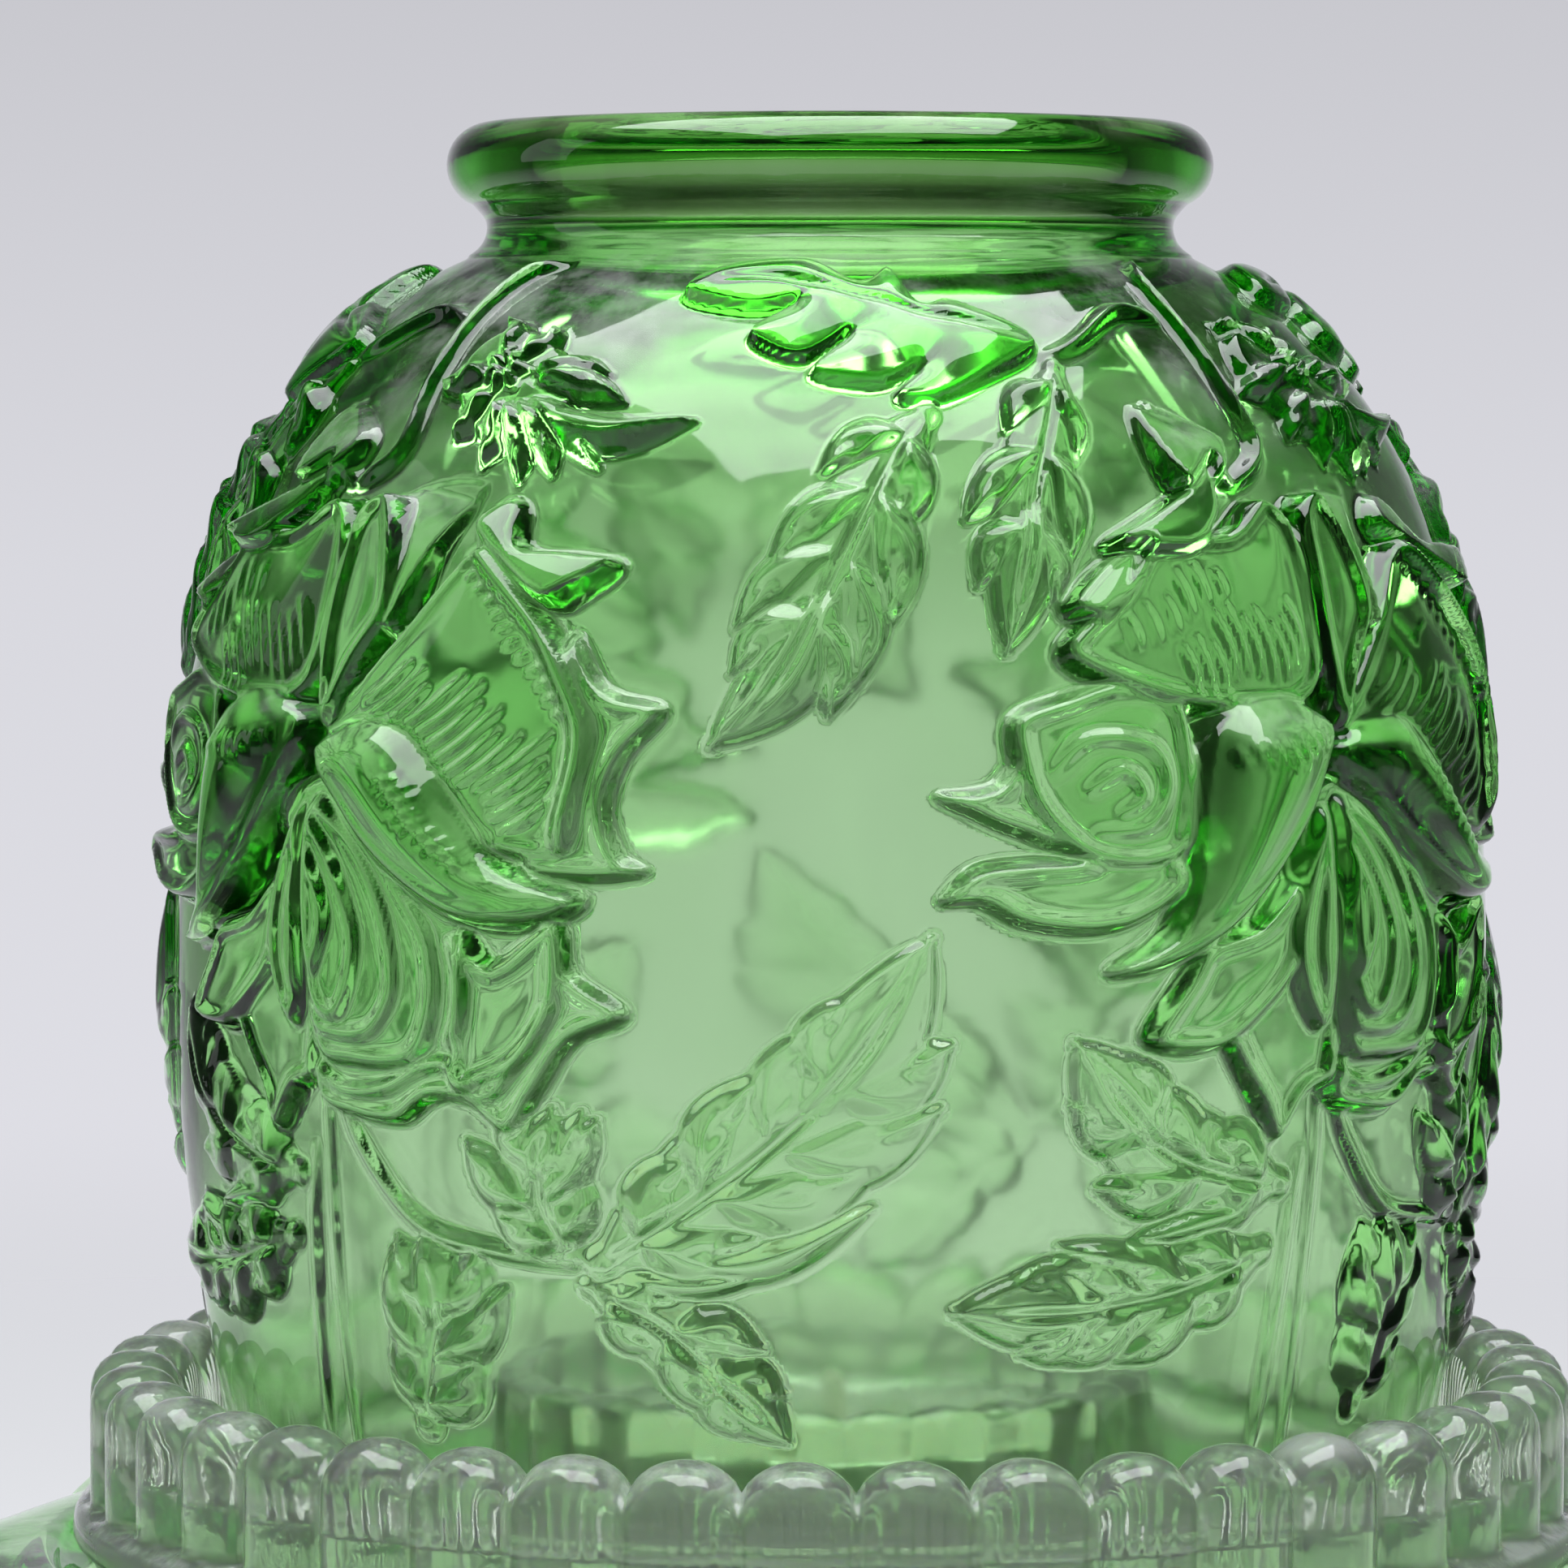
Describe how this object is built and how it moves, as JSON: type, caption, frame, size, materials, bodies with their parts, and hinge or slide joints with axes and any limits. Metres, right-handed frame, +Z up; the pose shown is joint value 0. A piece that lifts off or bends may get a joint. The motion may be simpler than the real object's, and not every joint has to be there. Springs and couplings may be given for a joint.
{
  "type": "glass fairy lamp for a tealight",
  "caption": "Pressed-glass fairy lamp: green dome shade with an open neck on a clear scalloped candle insert, in a footed bowl with a ruffled brim.",
  "frame": {"origin": "centre of the foot, on the surface that the lamp stands on", "axes": "+Z up along the lamp's axis; -Y is the front, with the smooth panel between two roses; +X to the right of someone facing the front"},
  "size_m": [0.1558, 0.1558, 0.1593],
  "materials": {
    "green_glass": "glossy pressed glass, mid green, darker where it is thick",
    "clear_glass": "glossy pressed glass, nearly colourless, a little milky",
    "aluminium": "thin drawn foil",
    "wax": "smooth white paraffin",
    "cotton": "braided cotton",
    "steel": "tinned sheet"
  },
  "bodies": {
    "base": {"base_bowl": "green_glass"},
    "insert": {"candle_insert": "clear_glass"},
    "shade": {"dome_shade": "green_glass"},
    "tealight": {"tealight_shell": "aluminium", "tealight_wax": "wax", "wick": "cotton", "wick_sustainer": "steel"}
  },
  "joints": [
    {"name": "insert_lift", "type": "slide", "parent": "base", "child": "insert", "axis": [0, 0, 1], "range_m": [0, 0.03]},
    {"name": "shade_lift", "type": "slide", "parent": "insert", "child": "shade", "axis": [0, 0, 1], "range_m": [0, 0.045]},
    {"name": "tealight_lift", "type": "slide", "parent": "insert", "child": "tealight", "axis": [0, 0, 1], "range_m": [0, 0.03]}
  ]
}
